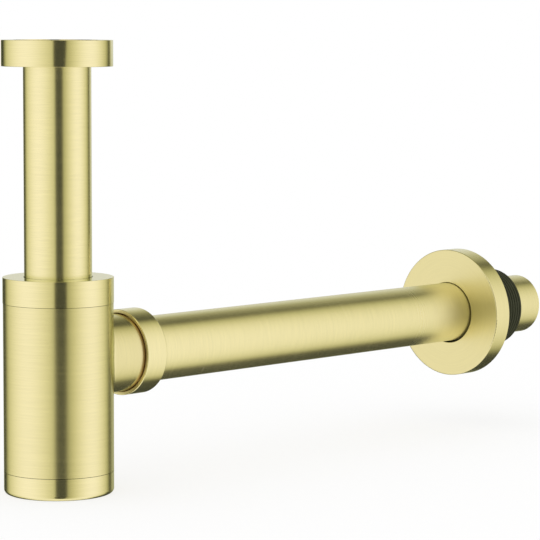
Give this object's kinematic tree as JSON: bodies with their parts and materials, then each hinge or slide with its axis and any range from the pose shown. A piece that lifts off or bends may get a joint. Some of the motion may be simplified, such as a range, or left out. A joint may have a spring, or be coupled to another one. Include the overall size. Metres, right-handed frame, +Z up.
{
  "type": "bottle trap",
  "caption": "Brushed brass bottle trap for a basin: coupling nut, dip tube, screwed bottle with cleaning cup, horizontal outlet pipe, loose wall flange and ribbed rubber wall seal.",
  "frame": {"origin": "centre of the coupling nut's top face, on the inlet axis", "axes": "+Z up along the inlet tube towards the basin, +X along the outlet pipe towards the wall"},
  "size_m": [0.3762, 0.0694, 0.2142],
  "materials": {
    "brushed_brass": "fine circumferential brushing",
    "black_rubber": "matt moulded",
    "white_nylon": "matt moulded"
  },
  "bodies": {
    "inlet": {"inlet_tube": "brushed_brass", "coupling_gasket": "black_rubber"},
    "coupling": {"coupling_nut": "brushed_brass"},
    "gland": {"top_seal": "black_rubber"},
    "bottle": {"bottle_body": "brushed_brass", "outlet_seal": "black_rubber"},
    "cap_packing": {"top_slip_ring": "white_nylon"},
    "cap": {"top_cap": "brushed_brass"},
    "cup_packing": {"cup_oring": "black_rubber"},
    "cup": {"bottom_cup": "brushed_brass"},
    "outlet_packing": {"outlet_slip_ring": "white_nylon"},
    "outlet_fastener": {"outlet_nut": "brushed_brass"},
    "outlet": {"outlet_pipe": "brushed_brass"},
    "flange": {"wall_flange": "brushed_brass"},
    "sleeve": {"wall_seal": "black_rubber"}
  },
  "joints": [
    {"name": "coupling_turn", "type": "hinge", "parent": "inlet", "child": "coupling", "pos_m": [0, 0, 0], "axis": [0, 0, 1], "continuous": true},
    {"name": "height_slide", "type": "slide", "parent": "inlet", "child": "gland", "axis": [0, 0, 1], "range_m": [-0.03, 0.008]},
    {"name": "bottle_swivel", "type": "hinge", "parent": "gland", "child": "bottle", "pos_m": [0, 0, -0.118], "axis": [0, 0, 1], "continuous": true},
    {"name": "cap_travel", "type": "slide", "parent": "bottle", "child": "cap_packing", "axis": [0, 0, 1], "range_m": [0, 0.006]},
    {"name": "cap_turn", "type": "hinge", "parent": "cap_packing", "child": "cap", "pos_m": [0, 0, -0.1174], "axis": [0, 0, 1], "range_deg": [0, 1440]},
    {"name": "cup_travel", "type": "slide", "parent": "bottle", "child": "cup_packing", "axis": [0, 0, -1], "range_m": [0, 0.006]},
    {"name": "cup_turn", "type": "hinge", "parent": "cup_packing", "child": "cup", "pos_m": [0, 0, -0.2035], "axis": [0, 0, -1], "range_deg": [0, 1440]},
    {"name": "outlet_nut_travel", "type": "slide", "parent": "bottle", "child": "outlet_packing", "axis": [1, 0, 0], "range_m": [0, 0.005]},
    {"name": "outlet_nut_turn", "type": "hinge", "parent": "outlet_packing", "child": "outlet_fastener", "pos_m": [0.0468, 0, -0.1508], "axis": [1, 0, 0], "range_deg": [0, 1800]},
    {"name": "outlet_slide", "type": "slide", "parent": "bottle", "child": "outlet", "axis": [1, 0, 0], "range_m": [-0.01, 0.012]},
    {"name": "flange_slide", "type": "slide", "parent": "outlet", "child": "flange", "axis": [1, 0, 0], "range_m": [-0.215, 0]},
    {"name": "sleeve_slide", "type": "slide", "parent": "outlet", "child": "sleeve", "axis": [1, 0, 0], "range_m": [0, 0.015]}
  ],
  "couplings": [
    {"joint": "cap_travel", "follows": "cap_turn", "m_per_rad": 0.00023873},
    {"joint": "cup_travel", "follows": "cup_turn", "m_per_rad": 0.00023873},
    {"joint": "outlet_nut_travel", "follows": "outlet_nut_turn", "m_per_rad": 0.00015915}
  ]
}
